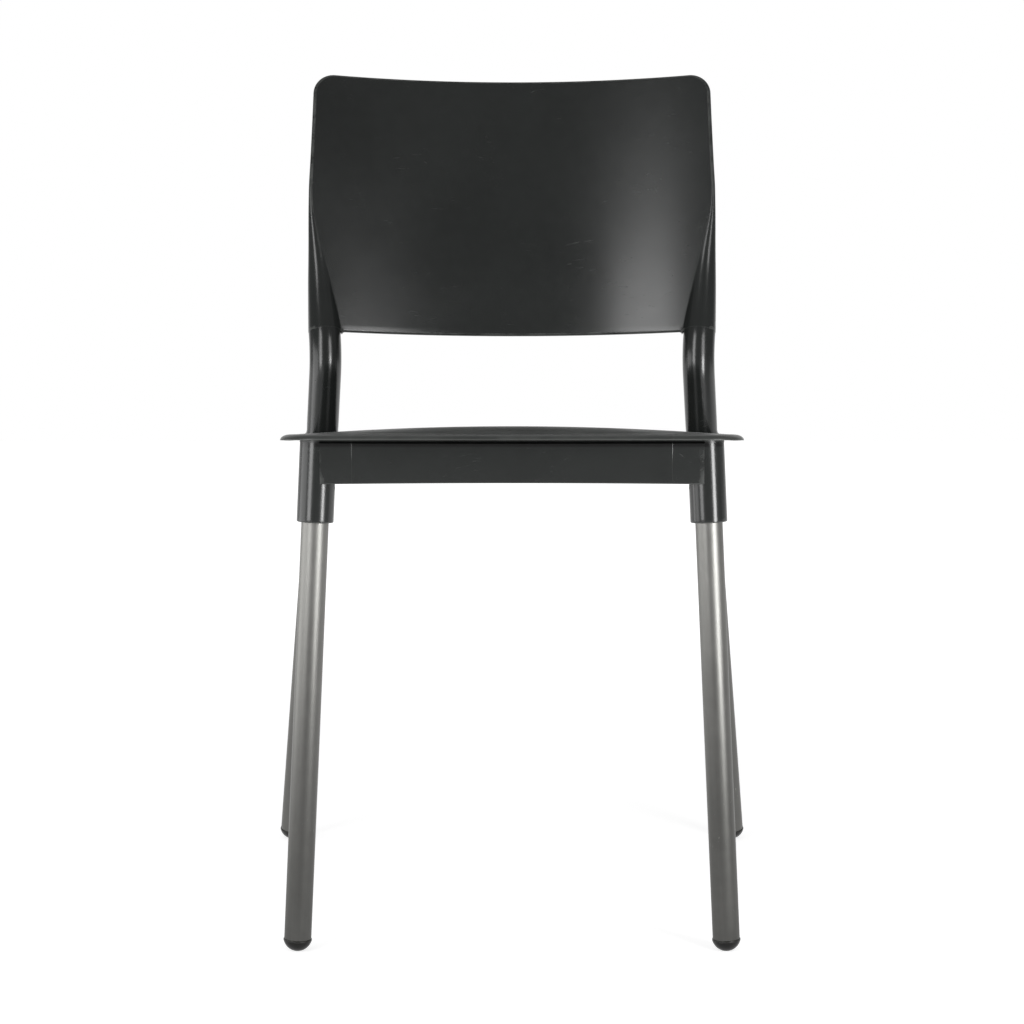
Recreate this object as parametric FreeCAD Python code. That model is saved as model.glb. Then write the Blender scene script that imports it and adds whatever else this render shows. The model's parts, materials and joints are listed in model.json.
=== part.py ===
import FreeCAD, Part
import math
import os
from FreeCAD import Vector

# Stacking chair: a one-piece moulded body (seat, apron, sockets, uprights and backrest) on four tube legs.
# Millimetres. +Z is up, the floor is z = 0, the sitter faces -Y and the sitter's left is +X.
# The chair is drawn with its front feet at y = 0 and moved at the end, so that the origin is on the floor,
# under the middle of the whole chair.

# Legs: straight tubes, each given by its foot and by how far it leans per millimetre of height
TUBE_R = 12.0
TUBE_WALL = 2.0
FRONT_FOOT_X = 190.0
FRONT_SPLAY = 0.0476
REAR_FOOT_X = 240.9
REAR_FOOT_Y = 462.2
REAR_SPLAY = 0.0975
REAR_RAKE = 0.2217

# Glides: a dome under each tube, worn flat where it meets the floor
GLIDE_R = 12.6
GLIDE_DOME_H = 10.0
GLIDE_FLAT_R = 3.2
GLIDE_BAND_H = 1.2
GLIDE_SPIGOT_H = 18.0

# Sockets that hold the tubes, and the screws that fasten them
SOCKET_R = 16.2
FRONT_SOCKET_Z = 381.0
REAR_SOCKET_Z = 376.0
FRONT_SOCKET_TOP_Z = 475.0
REAR_SOCKET_TOP_Z = 446.0
SOCKET_DEPTH = 58.0
LIP_BEVEL = 1.0
BORE_GAP = 0.05
SCREW_DROP = 24.0
SCREW_R = 2.0
SCREW_HEAD_R = 4.2
SCREW_HEAD_H = 2.8
SCREW_LENGTH = 10.0
SLOT_LENGTH = 4.4
SLOT_WIDTH = 1.0
SLOT_DEPTH = 1.4

# Seat plan: bowed front and rear edges, each drawn as a wide blunt corner, and four rounded corners
SEAT_FRONT_Y = -30.0
SEAT_FRONT_HALF = 201.5
SEAT_FRONT_BOW = 7.0
SEAT_FRONT_BOW_X = 70.0
SEAT_FRONT_BOW_R = 700.0
SEAT_FRONT_CORNER_R = 36.0
SEAT_REAR_Y = 392.0
SEAT_REAR_HALF = 228.0
SEAT_REAR_BOW = 20.0
SEAT_REAR_BOW_X = 80.0
SEAT_REAR_BOW_R = 600.0
SEAT_REAR_CORNER_R = 44.0

# Seat surface: worked out level, then sloped down to the back
SEAT_EDGE_Z = 453.6
SEAT_SLOPE_DEG = 2.06
SEAT_THICK = 5.0
SEAT_EDGE_RISE = 5.6
SEAT_CROWN_HALF = 185.0

# Rails and ribs under the seat: their lower edges rise a little less than the seat slopes
RAIL_THICK = 4.0
RAIL_TOP_Z = 480.0
RAIL_INSET = 3.0
SIDE_RAIL_OUT = 11.0
REAR_RAIL_RISE = 4.0
REAR_RAIL_IN = 8.0
APRON_Z = 414.8
APRON_ARCH = 1.0
RIB_THICK = 3.0
RIB_Z = 427.0
RIB_SLOPE_SHARE = 0.8
LONG_RIB_X = 70.0
CROSS_RIB_Y = 175.0

# Uprights: a bar bent once at the knee, then a taper that ends inside the backrest
UPRIGHT_R = 16.4
UPRIGHT_X = 197.6
UPRIGHT_START_Z = 440.0
KNEE_Z = 529.0
KNEE_BEND_R = 70.0

# Backrest: part of a leaning cylinder
BACK_R = 435.0
BACK_THICK = 5.2
BACK_Y = 390.7
BACK_BOTTOM_Z = 550.0
BACK_TOP_Z = 822.4
BACK_LEAN = 0.28
BACK_FOOT_HALF = 186.0
BACK_WIDE_HALF = 210.6
BACK_WIDE_Z = 700.0
BACK_TOP_HALF = 208.2
BACK_CORNER_R = 21.0
BACK_CREST_HOLLOW = 2.2
BACK_FOOT_BOW = 3.0
BACK_EDGE_BEVEL = 1.3


def line(a, b):
    return Part.LineSegment(a, b).toShape()


def arc(a, b, c):
    return Part.Arc(a, b, c).toShape()


def mirrored(shape):
    return shape.mirror(Vector(0, 0, 0), Vector(1, 0, 0))


class Leg:
    """The axis of a leg: its foot is the centre of the glide's dome, and it rises to the seat."""

    def __init__(self, x, y, splay, rake):
        self.foot = Vector(x, y, foot_height())
        self.up = Vector(-splay, -rake, 1)
        self.direction = Vector(self.up).normalize()

    def at(self, z):
        return self.foot + self.up * (z - self.foot.z)

    def placed(self, shape, distance):
        """A shape drawn along +Z, moved onto the axis at this distance above the foot."""
        turned = shape.copy()
        turned.Placement = FreeCAD.Placement(
            self.foot + self.direction * distance,
            FreeCAD.Rotation(Vector(0, 0, 1), self.direction),
        )
        return turned

    def distance(self, z):
        return (z - self.foot.z) / self.direction.z


def dome_radius():
    return (GLIDE_R**2 + GLIDE_DOME_H**2) / (2 * GLIDE_DOME_H)


def foot_height():
    """Height of the dome's centre, where the floor cuts off a flat of GLIDE_FLAT_R."""
    return math.sqrt(dome_radius() ** 2 - GLIDE_FLAT_R**2)


def tube_start():
    """Distance from the dome's centre, along the leg, to the end of the tube."""
    return GLIDE_BAND_H - (dome_radius() - GLIDE_DOME_H)


def glide(leg):
    """Dome, band and spigot, turned about the leg's axis, then cut level with the floor."""
    radius = dome_radius()
    inner = TUBE_R - TUBE_WALL
    rim = Vector(GLIDE_R, 0, GLIDE_DOME_H - radius)
    tip = Vector(0, 0, -radius)
    on_dome = Vector(radius * math.sqrt(0.5), 0, -radius * math.sqrt(0.5))
    corners = [
        rim,
        Vector(GLIDE_R, 0, tube_start()),
        Vector(inner, 0, tube_start()),
        Vector(inner, 0, tube_start() + GLIDE_SPIGOT_H),
        Vector(0, 0, tube_start() + GLIDE_SPIGOT_H),
        tip,
    ]
    profile = [line(a, b) for a, b in zip(corners, corners[1:])] + [arc(tip, on_dome, rim)]
    turned = Part.Face(Part.Wire(profile)).revolve(Vector(0, 0, 0), Vector(0, 0, 1), 360)
    below_floor = Part.makeBox(80, 80, 40, leg.foot + Vector(-40, -40, -40 - leg.foot.z))
    return leg.placed(turned, 0).cut(below_floor)


def socket_top(leg, socket_z):
    """Distance along the leg of the blind end of the socket's bore."""
    return leg.distance(socket_z) + SOCKET_DEPTH


def tube(leg, socket_z):
    """Leg tube from its glide to the blind end of its socket, drilled for its screw."""
    length = socket_top(leg, socket_z) - tube_start()
    outer = Part.makeCylinder(TUBE_R, length)
    inner = Part.makeCylinder(TUBE_R - TUBE_WALL, length)
    whole = leg.placed(outer.cut(inner), tube_start())
    return whole.cut(screw_space(leg, socket_z, SCREW_R + BORE_GAP, -SCREW_LENGTH))


def screw_placement(leg, socket_z):
    """Where the screw's head bears on the inner side of the tube, and which way it drives."""
    inward = Vector(-1, 0, 0)
    inward = (inward - leg.direction * inward.dot(leg.direction)).normalize()
    middle = leg.foot + leg.direction * (socket_top(leg, socket_z) - SCREW_DROP)
    return FreeCAD.Placement(middle + inward * TUBE_R, FreeCAD.Rotation(Vector(0, 0, 1), inward))


def screw_space(leg, socket_z, radius, start):
    """Round hole on the screw's axis, from this distance above its bearing face out past the socket."""
    hole = Part.makeCylinder(radius, 2 * SOCKET_R, Vector(0, 0, start))
    hole.Placement = screw_placement(leg, socket_z)
    return hole


def screw(leg, socket_z):
    """Screw whose round head fills the socket's window and bears on the tube, with a cross recess."""
    head = Part.makeCylinder(SCREW_HEAD_R, SCREW_HEAD_H)
    shank = Part.makeCylinder(SCREW_R, SCREW_LENGTH, Vector(0, 0, -SCREW_LENGTH))
    across = Part.makeBox(SLOT_LENGTH, SLOT_WIDTH, SLOT_DEPTH)
    across.translate(Vector(-SLOT_LENGTH / 2, -SLOT_WIDTH / 2, SCREW_HEAD_H - SLOT_DEPTH))
    along = across.copy()
    along.rotate(Vector(0, 0, 0), Vector(0, 0, 1), 90)
    whole = head.fuse(shank).cut(across.fuse(along)).removeSplitter()
    whole.Placement = screw_placement(leg, socket_z)
    return whole


def rounded_polygon(corners, radii, z):
    """Closed wire of lines and arcs: a polygon, anticlockwise, with each corner rounded."""
    count = len(corners)
    stops = []
    for i, (corner, radius) in enumerate(zip(corners, radii)):
        back = (corners[i - 1] - corner).normalize()
        ahead = (corners[(i + 1) % count] - corner).normalize()
        half = back.getAngle(ahead) / 2
        reach = radius / math.tan(half)
        middle = (back + ahead).normalize() * (radius / math.sin(half) - radius)
        lift = Vector(0, 0, z)
        stops.append([corner + back * reach + lift, corner + middle + lift, corner + ahead * reach + lift])
    edges = []
    for i, (start, middle, end) in enumerate(stops):
        edges.append(arc(start, middle, end))
        edges.append(line(end, stops[(i + 1) % count][0]))
    return Part.Wire(edges)


def seat_ring(inset, z):
    """The seat's plan outline, drawn smaller all round by the inset."""
    right = [
        Vector(SEAT_FRONT_BOW_X, SEAT_FRONT_Y, 0),
        Vector(SEAT_FRONT_HALF, SEAT_FRONT_Y + SEAT_FRONT_BOW, 0),
        Vector(SEAT_REAR_HALF, SEAT_REAR_Y - SEAT_REAR_BOW, 0),
        Vector(SEAT_REAR_BOW_X, SEAT_REAR_Y, 0),
    ]
    corners = right + [Vector(-p.x, p.y, 0) for p in reversed(right)]
    right_radii = [SEAT_FRONT_BOW_R, SEAT_FRONT_CORNER_R, SEAT_REAR_CORNER_R, SEAT_REAR_BOW_R]
    radii = right_radii + right_radii[::-1]
    count = len(corners)
    moved = []
    for i in range(count):
        before = (corners[i] - corners[i - 1]).normalize()
        after = (corners[(i + 1) % count] - corners[i]).normalize()
        inward = Vector(-before.y - after.y, before.x + after.x, 0).normalize()
        moved.append(corners[i] + inward * (inset / math.cos(before.getAngle(after) / 2)))
    smallest = 8
    return rounded_polygon(moved, [max(r - inset, smallest) for r in radii], z)


def seat_envelope():
    """The room the seat's edge leaves: thin at the outline, and thicker inwards on both sides."""
    # inset from the outline, and height above its lower edge
    rings = [(30, -16), (0, 0), (0, 1.4), (4.5, 4.0), (13, 6.1), (60, 21)]
    return Part.makeLoft([seat_ring(inset, z) for inset, z in rings], True, True)


def seat_crown(y):
    """How far the seat's middle stands above its margins: a rolled front, a dish, and a level back."""
    stations = [(-60, -12), (-18, 0), (28, 6.9), (110, 1.2), (205, -6.5), (290, -7), (350, -3), (430, 1)]
    curve = Part.BSplineCurve()
    curve.interpolate([Vector(0, a, b) for a, b in stations])
    reach = 50
    here = curve.intersectCC(Part.Line(Vector(0, y, -reach), Vector(0, y, reach)))
    return here[0].Z


def seat_section(y, lower, thick):
    """Cross-section of the seat at one depth: a parabola across, lowered and thickened downwards."""
    half = SEAT_REAR_HALF + 25
    crown = seat_crown(y)
    curves = []
    for drop in (lower, lower + thick):
        middle = SEAT_EDGE_RISE + crown - drop
        side = middle - crown * (half / SEAT_CROWN_HALF) ** 2
        curve = Part.BezierCurve()
        curve.setPoles([Vector(-half, y, side), Vector(0, y, 2 * middle - side), Vector(half, y, side)])
        curves.append(curve)
    upper, under = curves
    left = line(upper.getPole(1), under.getPole(1))
    right = line(upper.getPole(3), under.getPole(3))
    return Part.Wire([upper.toShape(), right, under.toShape(), left])


def seat_block(lower, thick):
    """The seat's crowned and dished slab, closer sections where its front rolls over."""
    depths = (-50, -30, -15, 0, 20, 40, 70, 110, 160, 240, 330, 420)
    return Part.makeLoft([seat_section(y, lower, thick) for y in depths], True, True)


def sloped(shape):
    """From the seat's own level frame to its place on the chair."""
    shape.translate(Vector(0, 0, SEAT_EDGE_Z))
    shape.rotate(Vector(0, SEAT_FRONT_Y, SEAT_EDGE_Z), Vector(1, 0, 0), -SEAT_SLOPE_DEG)
    return shape


def seat():
    return sloped(seat_block(0, SEAT_THICK).common(seat_envelope()))


def under_seat():
    """Everything below the middle of the seat's thickness, which trims what joins it from below."""
    depth = 110
    inside = Part.makeLoft([seat_ring(RAIL_INSET, -depth - 10), seat_ring(RAIL_INSET, 30)], True, True)
    return sloped(seat_block(SEAT_THICK / 2, depth).common(inside))


def wall(a, b, low_a, low_b, thick):
    """Upright wall between two plan points, centred on them, from its lower edge up past the seat."""
    along = (b - a).normalize()
    side = Vector(-along.y, along.x, 0) * (thick / 2)
    top = Vector(0, 0, RAIL_TOP_Z) - side
    lower_a = a + Vector(0, 0, low_a) - side
    lower_b = b + Vector(0, 0, low_b) - side
    face = Part.Face(Part.makePolygon([lower_a, lower_b, b + top, a + top, lower_a]))
    return face.extrude(side * 2)


def seat_drop(y):
    """How much lower the seat stands at this depth than at its front edge."""
    return math.tan(math.radians(SEAT_SLOPE_DEG)) * (y - SEAT_FRONT_Y)


def apron(front):
    """Front wall, flush with the fronts of the sockets, with a slightly arched lower edge."""
    half = front.at(APRON_Z).x
    front_y = -SOCKET_R
    low_left = Vector(-half, front_y, APRON_Z)
    low_middle = Vector(0, front_y, APRON_Z + APRON_ARCH)
    low_right = Vector(half, front_y, APRON_Z)
    top_left = Vector(-half, front_y, RAIL_TOP_Z)
    top_right = Vector(half, front_y, RAIL_TOP_Z)
    edges = [arc(low_left, low_middle, low_right), line(low_right, top_right), line(top_right, top_left)]
    edges.append(line(top_left, low_left))
    solid = Part.Face(Part.Wire(edges)).extrude(Vector(0, RAIL_THICK, 0))
    lower = [e for e in solid.Edges if e.BoundBox.ZMax < APRON_Z + 2 * APRON_ARCH and e.Length > RAIL_THICK]
    return solid.makeChamfer(LIP_BEVEL, lower)


def rib_low(y):
    """Height of the ribs' lower edge at this depth."""
    return RIB_Z - seat_drop(y) * RIB_SLOPE_SHARE


def rails(front, rear):
    """Apron, side and rear walls between the sockets, and the ribs that cross the underside."""
    parts = [apron(front)]
    rear_low = APRON_Z - seat_drop(REAR_FOOT_Y) + REAR_RAIL_RISE
    rear_point = rear.at(rear_low + SIDE_RAIL_OUT)
    side_front = Vector(front.at(APRON_Z).x + SIDE_RAIL_OUT, 0, 0)
    side_rear = Vector(rear_point.x + SIDE_RAIL_OUT, rear_point.y, 0)
    side = wall(side_front, side_rear, APRON_Z, rear_low, RAIL_THICK)
    parts.append(side)
    parts.append(mirrored(side))
    back = Vector(rear_point.x, rear_point.y - REAR_RAIL_IN, 0)
    parts.append(wall(Vector(-back.x, back.y, 0), back, rear_low, rear_low, RAIL_THICK))
    apron_y = RAIL_THICK / 2 - SOCKET_R
    for x in (-LONG_RIB_X, LONG_RIB_X):
        parts.append(wall(Vector(x, apron_y, 0), Vector(x, back.y, 0), RIB_Z, rib_low(back.y), RIB_THICK))
    reach = side_front.x + (side_rear.x - side_front.x) * CROSS_RIB_Y / side_rear.y
    low = rib_low(CROSS_RIB_Y)
    parts.append(wall(Vector(-reach, CROSS_RIB_Y, 0), Vector(reach, CROSS_RIB_Y, 0), low, low, RIB_THICK))
    return parts


def socket_outer(leg, low_z, high_z):
    """The outside of a socket, cut square to the tube, with a bevelled lower lip."""
    length = leg.distance(high_z) - leg.distance(low_z)
    body = Part.makeCylinder(SOCKET_R, length)
    lip = [e for e in body.Edges if e.BoundBox.ZMax < 0.1]
    return leg.placed(body.makeChamfer(LIP_BEVEL, lip), leg.distance(low_z))


def socket_bore(leg, low_z):
    bore = Part.makeCylinder(TUBE_R + BORE_GAP, SOCKET_DEPTH + 5)
    return leg.placed(bore, leg.distance(low_z) - 5)


def back_axis(z):
    """Point at this height on the axis of the cylinder that the backrest is part of."""
    middle_y = BACK_Y + BACK_LEAN * (z - BACK_BOTTOM_Z)
    return Vector(0, middle_y - BACK_R * math.hypot(1, BACK_LEAN), z)


def back_face(x, z):
    """Depth of the backrest's front face."""
    return back_axis(z).y + math.sqrt(BACK_R**2 - x**2) * math.hypot(1, BACK_LEAN)


def back_outline():
    """The backrest's outline in the plane y = 0: nearly straight sides, rounded top corners, hollow top edge."""
    side = [
        Vector(BACK_FOOT_HALF, 0, BACK_BOTTOM_Z),
        Vector(BACK_FOOT_HALF + UPRIGHT_R * 0.7, 0, BACK_BOTTOM_Z + 90),
        Vector(BACK_WIDE_HALF, 0, BACK_WIDE_Z),
        Vector(BACK_TOP_HALF, 0, BACK_TOP_Z - BACK_CORNER_R),
    ]
    top_x = BACK_TOP_HALF - BACK_CORNER_R
    turn = math.sqrt(0.5) * BACK_CORNER_R
    corner_mid = Vector(top_x + turn, 0, side[-1].z + turn)
    corner_end = Vector(top_x, 0, BACK_TOP_Z)
    right = [line(a, b) for a, b in zip(side, side[1:])] + [arc(side[-1], corner_mid, corner_end)]
    crest = arc(corner_end, Vector(0, 0, BACK_TOP_Z - BACK_CREST_HOLLOW), Vector(-top_x, 0, BACK_TOP_Z))
    foot = arc(Vector(-BACK_FOOT_HALF, 0, BACK_BOTTOM_Z), Vector(0, 0, BACK_BOTTOM_Z - BACK_FOOT_BOW), side[0])
    left = [mirrored(edge) for edge in reversed(right)]
    return Part.Wire([foot] + right + [crest] + left)


def back_panel():
    """The thin curved panel: a leaning cylinder's wall, cut to its front outline, with bevelled edges."""
    up = Vector(0, BACK_LEAN, 1)
    base = back_axis(BACK_BOTTOM_Z - 50)
    length = 2 * (BACK_TOP_Z - BACK_BOTTOM_Z)
    outer = Part.makeCylinder(BACK_R + BACK_THICK, length, base, up)
    curved_wall = outer.cut(Part.makeCylinder(BACK_R, length, base, up))
    panel = curved_wall.common(Part.Face(back_outline()).extrude(Vector(0, 2 * BACK_Y, 0)))
    long_edges = [e for e in panel.Edges if e.BoundBox.DiagonalLength > 2 * BACK_THICK]
    return panel.makeChamfer(BACK_EDGE_BEVEL, long_edges)


def upright_taper():
    """Centres and radii where the upright leaves its bend, meets the panel, and has sunk into it."""
    # height, outer edge, radius, and how far the round stands out in front of the panel's face
    stations = ((552, 209.6, UPRIGHT_R, 9.6), (605, 211.1, 12.6, 1.1), (704, 210.9, 2.0, 0))
    taper = []
    for z, outer, radius, proud in stations:
        x = outer - radius
        slope = math.sqrt(1 + x**2 / (BACK_R**2 - x**2))
        taper.append((Vector(x, back_face(x, z) + radius * slope - proud, z), radius))
    return taper


def upright(rear):
    """Round bar: straight from the seat, bent at the knee, then tapered into the panel in two cones."""
    taper = upright_taper()
    start = Vector(UPRIGHT_X, rear.at(UPRIGHT_START_Z).y, UPRIGHT_START_Z)
    end = taper[0][0]
    ahead = (taper[1][0] - end).normalize()
    knee = end - ahead * ((end.z - KNEE_Z) / ahead.z)
    back = (start - knee).normalize()
    half = back.getAngle(ahead) / 2
    reach = KNEE_BEND_R / math.tan(half)
    bend_middle = knee + (back + ahead).normalize() * (KNEE_BEND_R / math.sin(half) - KNEE_BEND_R)
    bend_start = knee + back * reach
    bend_end = knee + ahead * reach
    path = Part.Wire([line(start, bend_start), arc(bend_start, bend_middle, bend_end), line(bend_end, end)])
    section = Part.Wire(Part.makeCircle(UPRIGHT_R, start, knee - start))
    bar = path.makePipeShell([section], True, False)
    cones = []
    for (low, low_r), (high, high_r) in zip(taper, taper[1:]):
        cones.append(Part.makeCone(low_r, high_r, (high - low).Length, low, high - low))
    middle, middle_r = taper[1]
    return bar.fuse(cones + [Part.makeSphere(middle_r, middle)])


def body(front, rear):
    """The whole moulding, as one solid."""
    below = rails(front, rear)
    front_socket = socket_outer(front, FRONT_SOCKET_Z, FRONT_SOCKET_TOP_Z)
    below.append(front_socket)
    below.append(mirrored(front_socket))
    below = below[0].fuse(below[1:]).common(under_seat())
    rear_socket = socket_outer(rear, REAR_SOCKET_Z, REAR_SOCKET_TOP_Z)
    riser = upright(rear)
    above = [rear_socket, mirrored(rear_socket), riser, mirrored(riser), back_panel()]
    whole = seat().fuse([below] + above)
    for leg, low in ((front, FRONT_SOCKET_Z), (rear, REAR_SOCKET_Z)):
        bore = socket_bore(leg, low)
        window = screw_space(leg, low, SCREW_HEAD_R + BORE_GAP, -SCREW_R)
        whole = whole.cut([bore, window, mirrored(bore), mirrored(window)])
    return whole.removeSplitter()


def main():
    os.makedirs("parts", exist_ok=True)
    front = Leg(FRONT_FOOT_X, 0, FRONT_SPLAY, 0)
    rear = Leg(REAR_FOOT_X, REAR_FOOT_Y, REAR_SPLAY, REAR_RAKE)
    nodes = {"moulded_body": body(front, rear)}
    screws = []
    for place, leg, low in (("front", front, FRONT_SOCKET_Z), ("rear", rear, REAR_SOCKET_Z)):
        left_tube = tube(leg, low)
        nodes[f"{place}_left_leg"] = left_tube
        nodes[f"{place}_right_leg"] = mirrored(left_tube)
        left_glide = glide(leg)
        nodes[f"{place}_glides"] = Part.makeCompound([left_glide, mirrored(left_glide)])
        left_screw = screw(leg, low)
        screws += [left_screw, mirrored(left_screw)]
    nodes["leg_screws"] = Part.makeCompound(screws)
    box = Part.makeCompound(list(nodes.values())).optimalBoundingBox()
    middle = Vector(0, (box.YMin + box.YMax) / 2, 0)
    for name, shape in nodes.items():
        shape.translate(-middle)
        shape.exportStep(f"parts/{name}.step")
        print(name, shape.ShapeType, len(shape.Solids), shape.isValid(), round(shape.Volume / 1000, 2), "cm3")
    print("moved by", round(-middle.y, 3), "overall", round(box.XLength, 2), round(box.YLength, 2), round(box.ZLength, 2))


main()
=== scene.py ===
import json
import math

import bmesh
import bpy
import numpy as np
from mathutils import Matrix, Vector


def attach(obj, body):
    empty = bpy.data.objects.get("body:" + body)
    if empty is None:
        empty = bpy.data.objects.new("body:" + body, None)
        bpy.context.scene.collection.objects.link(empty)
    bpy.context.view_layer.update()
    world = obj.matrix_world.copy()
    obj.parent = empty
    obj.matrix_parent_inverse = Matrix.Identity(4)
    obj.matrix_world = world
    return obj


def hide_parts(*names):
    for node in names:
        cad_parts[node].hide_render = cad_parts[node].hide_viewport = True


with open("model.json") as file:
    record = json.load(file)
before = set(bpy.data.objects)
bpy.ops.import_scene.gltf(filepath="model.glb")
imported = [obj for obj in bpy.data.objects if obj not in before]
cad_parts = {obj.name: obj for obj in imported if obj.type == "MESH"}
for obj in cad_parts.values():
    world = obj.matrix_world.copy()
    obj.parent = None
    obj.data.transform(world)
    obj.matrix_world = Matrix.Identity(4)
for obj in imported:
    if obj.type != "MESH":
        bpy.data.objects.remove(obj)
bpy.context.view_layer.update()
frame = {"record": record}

MM = 0.001

# Curvatures, 1/m, between which an outer edge counts as more and more exposed
EDGE_FLAT = 110.0
EDGE_SHARP = 650.0

# The feet, from the frame's mounts: front pair and rear pair
MOUNTS = {mount["name"]: mount["pos_m"] for mount in frame["record"]["mounts"]}
FRONT_FOOT = MOUNTS["front_left_foot"]
REAR_FOOT = MOUNTS["rear_left_foot"]
FRONT_Y = FRONT_FOOT[1]

# Legs
TUBE_R = 12.0 * MM
TUBE_WALL = 2.0 * MM
TUBE_EDGE_R = 0.4 * MM
FRONT_LEAN = (-0.0476, 0.0)
REAR_LEAN = (-0.0975, -0.2217)
DOME_CENTRE_Z = 12.536 * MM
DOME_R = 12.938 * MM
GLIDE_R = 12.6 * MM
TUBE_START = -1.74 * MM
SPIGOT_H = 18.0 * MM

# Sockets and their screws
SOCKET_R = 16.2 * MM
SOCKET_LIP_R = 1.2 * MM
SOCKET_DEPTH = 58.0 * MM
BORE_R = 12.05 * MM
FRONT_SOCKET_Z = 381.0 * MM
REAR_SOCKET_Z = 376.0 * MM
SCREW_DROP = 24.0 * MM
SCREW_HEAD_R = 4.2 * MM
SCREW_HEAD_H = 2.8 * MM
WINDOW_R = 4.25 * MM
WINDOW_EDGE = 0.35 * MM

# Seat, level, then sloped down to the back about its front edge
SEAT_FRONT_Y = FRONT_Y - 30.0 * MM
SEAT_REAR_Y = FRONT_Y + 392.0 * MM
SEAT_FRONT_HALF = 201.5 * MM
SEAT_REAR_HALF = 228.0 * MM
SEAT_EDGE_Z = 453.6 * MM
SEAT_SLOPE = math.radians(2.06)
SEAT_THICK = 5.0 * MM
SEAT_RISE = 5.6 * MM
SEAT_NOSE_DEPTH = 9.0 * MM
SEAT_BLEND = 24.0 * MM
SEAT_UNDER_BLEND = 10 * MM
SEAT_CROWN_HALF = 185.0 * MM
SEAT_CROWN = ((-60, -12), (-18, 0), (28, 6.9), (110, 1.2), (205, -6.5), (290, -7), (350, -3), (430, 1))

# Rails
RAIL_THICK = 4.0 * MM
RAIL_EDGE_R = 1.0 * MM
SIDE_RAIL_OUT = 11.0 * MM
REAR_RAIL_RISE = 4.0 * MM
REAR_RAIL_IN = 8.0 * MM
APRON_Z = 414.8 * MM
APRON_ARCH = 1.0 * MM
APRON_SHORT = 4.0 * MM
FILLET_R = 3.7 * MM
RIB_THICK = 3.0 * MM
RIB_Z = 427.0 * MM
RIB_SLOPE_SHARE = 0.8
LONG_RIB_X = 70.0 * MM
CROSS_RIB_Y = FRONT_Y + 175.0 * MM

# Backrest: part of a leaning cylinder, with a full-round edge that thickens into the uprights
BACK_R = 435.0 * MM
BACK_THICK = 5.2 * MM
BACK_LEAN = 0.28
BACK_FACE_Y = FRONT_Y + 390.7 * MM
BACK_BOTTOM_Z = 550.0 * MM
BACK_TOP_Z = 822.4 * MM
BACK_TOP_HALF = 208.2 * MM
BACK_CORNER_R = 21.0 * MM
BACK_CREST_HOLLOW = 2.2 * MM
BACK_FOOT_LIFT = 1.9 * MM
BACK_FOOT_BOW = 3.8 * MM
CREASE_R = 2.0 * MM
ARMPIT_R = 3.0 * MM
# height, outer edge, radius, and how far the round stands out in front of the panel, all in millimetres
UPRIGHT_STATIONS = (
    (551.5, 209.5, 16.4, 9.2),
    (570, 210.2, 15.2, 5.5),
    (587, 210.7, 13.9, 2.9),
    (605, 211.1, 12.6, 1.1),
    (622, 211.2, 11.0, 0.2),
    (641, 211.2, 8.7, 0.0),
    (659, 211.2, 6.2, 0.0),
    (675, 211.1, 4.1, 0.0),
    (690, 211.0, 3.0, 0.0),
    (704, 210.9, 2.6, 0.0),
    (730, 210.0, 2.6, 0.0),
    (770, 208.9, 2.6, 0.0),
    (801.4, 208.2, 2.6, 0.0),
)
UPRIGHT_R = 16.4 * MM
UPRIGHT_X = 197.6 * MM
UPRIGHT_START_Z = 440.0 * MM
KNEE_Z = 529.0 * MM
KNEE_BEND_R = 70.0 * MM

# Mould witness lines, this far each side of the middle
WITNESS_X = 139.0 * MM


# Geometry helpers

def unit(v):
    v = np.asarray(v, float)
    return v / np.linalg.norm(v)


def smoothstep(t):
    t = min(max(t, 0.0), 1.0)
    return t * t * (3 - 2 * t)


def spline(points, x):
    """Smooth curve through (x, value) points: cubic pieces with the slopes of their neighbours."""
    last = len(points) - 1
    i = 0
    while i < last - 1 and x > points[i + 1][0]:
        i += 1
    (x0, y0), (x1, y1) = points[i], points[i + 1]
    width = x1 - x0
    before = points[max(i - 1, 0)]
    after = points[min(i + 2, last)]
    slope0 = (y1 - before[1]) / (x1 - before[0])
    slope1 = (after[1] - y0) / (after[0] - x0)
    t = (x - x0) / width
    a = 2 * t**3 - 3 * t**2 + 1
    b = t**3 - 2 * t**2 + t
    c = 3 * t**2 - 2 * t**3
    d = t**3 - t**2
    return a * y0 + b * width * slope0 + c * y1 + d * width * slope1


def grid_faces(rows, around, start=0, closed=False):
    """Quads between neighbouring rows of the same length, closed round each row or not."""
    faces = []
    for i in range(rows - 1):
        for j in range(around if closed else around - 1):
            k = (j + 1) % around
            a = start + i * around
            faces.append((a + j, a + k, a + around + k, a + around + j))
    return faces


def mark_edges(mesh):
    """Stores how sharply each vertex bulges, from 0 on flat and hollow places to 1 on an outer edge."""
    work = bmesh.new()
    work.from_mesh(mesh)
    values = []
    for vertex in work.verts:
        most = 0.0
        for edge in vertex.link_edges:
            if len(edge.link_faces) == 2:
                first, second = edge.link_faces
                gap = (first.calc_center_median() - second.calc_center_median()).length
                most = max(most, edge.calc_face_angle_signed(0.0) / max(gap, 1e-5))
        values.append(min(max((most - EDGE_FLAT) / (EDGE_SHARP - EDGE_FLAT), 0.0), 1.0))
    work.free()
    mesh.attributes.new("edge", "FLOAT", "POINT").data.foreach_set("value", values)


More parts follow.
